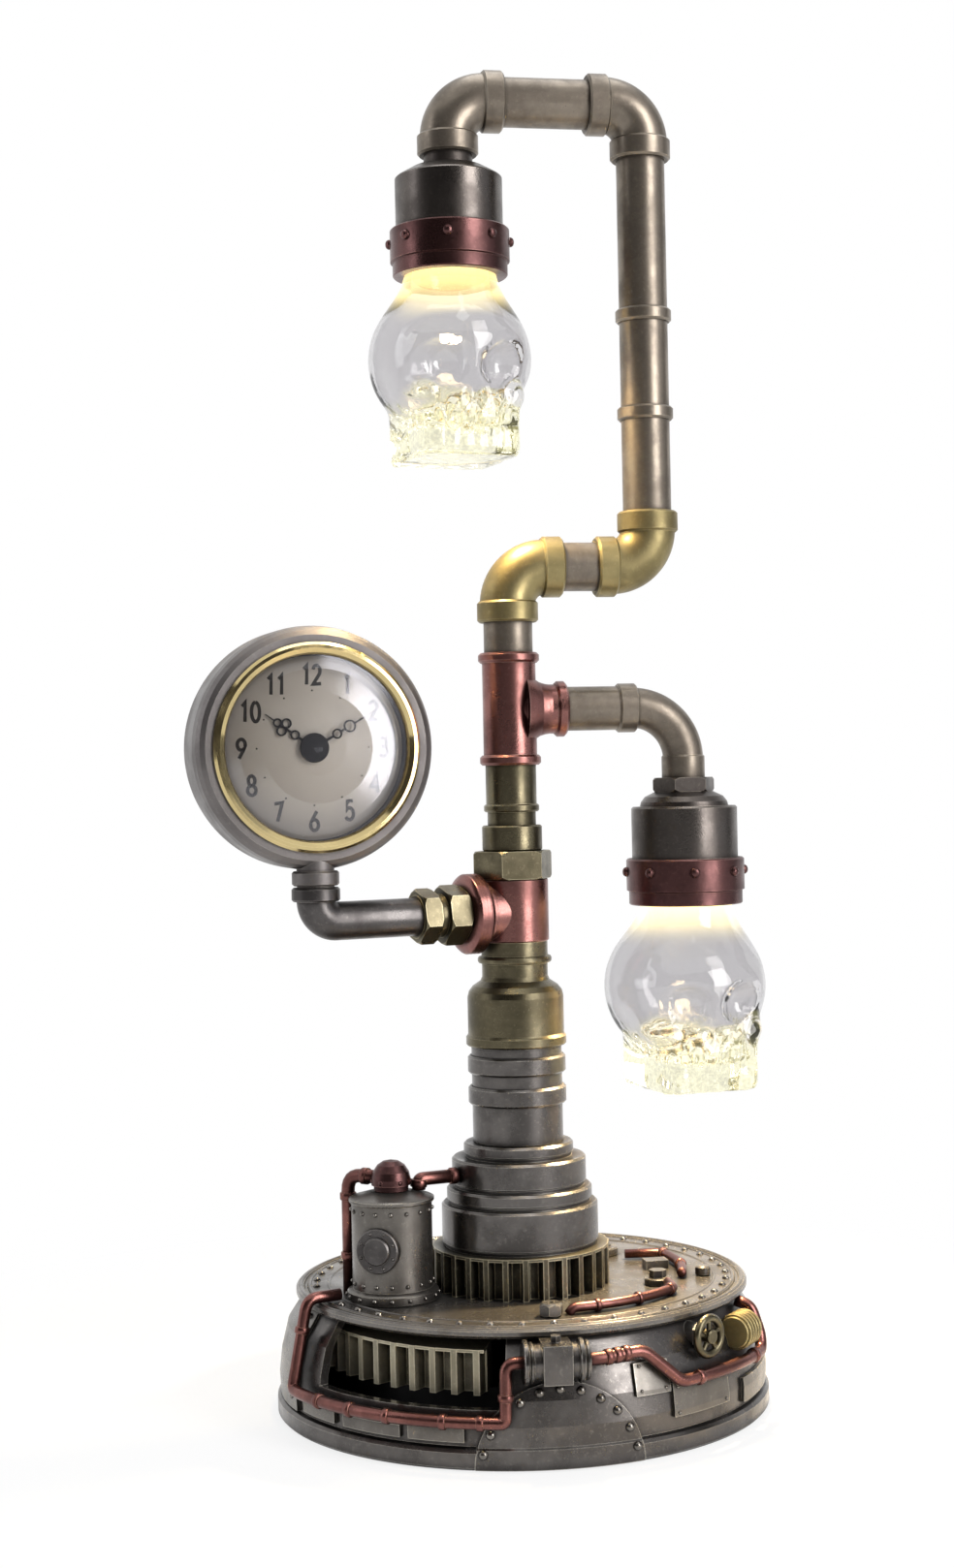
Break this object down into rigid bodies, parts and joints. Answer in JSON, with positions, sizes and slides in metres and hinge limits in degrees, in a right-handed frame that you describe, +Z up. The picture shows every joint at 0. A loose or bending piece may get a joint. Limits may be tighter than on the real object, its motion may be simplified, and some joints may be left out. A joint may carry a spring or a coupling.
{
  "type": "pipe desk lamp with clock",
  "caption": "Desk lamp of pipe fittings on a riveted round base with gears, with two glass-skull lights on a swivelling mast and a clock on a side arm.",
  "frame": {"origin": "centre of the felt foot, on the table", "axes": "+Z up the column, -Y towards the viewer of the clock side, +X towards the riser and the lower light"},
  "size_m": [0.1957, 0.1796, 0.4595],
  "materials": {
    "aged_pewter": "aged bronze-pewter, worn edges",
    "felt": "dark felt",
    "blackened_steel": "blackened",
    "zinc_steel": "plain zinc",
    "gear_bronze": "dark bronze with rubbed teeth",
    "copper": "aged rosy copper",
    "red_copper": "dark red copper",
    "aged_brass": "antique brass",
    "polished_brass": "polished",
    "glass": "clear",
    "light_board": "glowing diffuser",
    "dial_card": "matt beige dial",
    "black_hands": "gloss black"
  },
  "bodies": {
    "base": {"base_shell": "aged_pewter", "base_floor": "blackened_steel", "felt_pad": "felt", "floor_screws": "zinc_steel", "deck_plate": "aged_pewter", "rivets": "aged_pewter", "ring_gear": "gear_bronze", "gear_stand": "blackened_steel", "arch_plate": "aged_pewter", "wall_plates": "aged_pewter", "valve_body": "aged_pewter", "window_pipe": "copper", "side_pipe": "copper", "hose_stub": "aged_brass", "switch_unit": "zinc_steel", "cord_gland": "blackened_steel", "tank_body": "aged_pewter", "tank_lid": "aged_pewter", "tank_dome": "copper", "tank_port": "aged_pewter", "tank_pipes": "copper", "deck_pipes": "copper", "deck_fittings": "aged_brass", "deck_gear": "gear_bronze", "column_base": "aged_pewter", "column_tube": "aged_pewter", "column_bands": "aged_pewter", "reducer": "aged_brass", "clock_tee": "copper", "tie_tube": "zinc_steel", "tie_nut": "zinc_steel", "union_nut": "aged_brass", "clock_fittings": "aged_brass", "clock_arm": "aged_pewter"},
    "lamp_mast": {"union_tail": "aged_brass", "lower_nipple": "aged_brass", "light_tee": "copper", "tee_nipple": "aged_brass", "offset_elbow_low": "aged_brass", "offset_nipple": "aged_pewter", "offset_elbow_high": "aged_brass", "riser_pipe": "aged_pewter", "riser_rings": "aged_pewter", "top_elbow_right": "aged_pewter", "top_pipe": "aged_pewter", "top_elbow_left": "aged_pewter", "branch_pipe": "aged_pewter", "branch_elbow": "aged_pewter", "lamp_cups": "aged_pewter", "shade_rings": "red_copper", "shade_screws": "red_copper", "glass_skulls": "glass", "led_modules": "light_board"},
    "clock_head": {"clock_case": "aged_pewter", "clock_bezel": "polished_brass", "clock_lens": "glass", "clock_insert": "dial_card"},
    "minute_work": {"minute_work": "black_hands"},
    "hour_work": {"hour_hand": "black_hands"},
    "handwheel": {"handwheel": "aged_brass"}
  },
  "joints": [
    {"name": "mast_swivel", "type": "hinge", "parent": "base", "child": "lamp_mast", "pos_m": [0, -0.01, 0.187], "axis": [0, 0, 1], "range_deg": [-60, 60]},
    {"name": "clock_swivel", "type": "hinge", "parent": "base", "child": "clock_head", "pos_m": [-0.0649, -0.04451, 0.182], "axis": [0, 0, 1], "range_deg": [-60, 60]},
    {"name": "minute_turn", "type": "hinge", "parent": "clock_head", "child": "minute_work", "pos_m": [-0.0649, -0.04451, 0.2278], "axis": [-0.3173, 0.9483, 0], "continuous": true},
    {"name": "hour_turn", "type": "hinge", "parent": "clock_head", "child": "hour_work", "pos_m": [-0.0649, -0.04451, 0.2278], "axis": [-0.3173, 0.9483, 0], "continuous": true},
    {"name": "wheel_turn", "type": "hinge", "parent": "base", "child": "handwheel", "pos_m": [0.05611, -0.05418, 0.035], "axis": [0.7193, -0.6947, 0], "range_deg": [0, 270]}
  ],
  "couplings": [
    {"joint": "hour_turn", "follows": "minute_turn", "ratio": 0.083333}
  ]
}
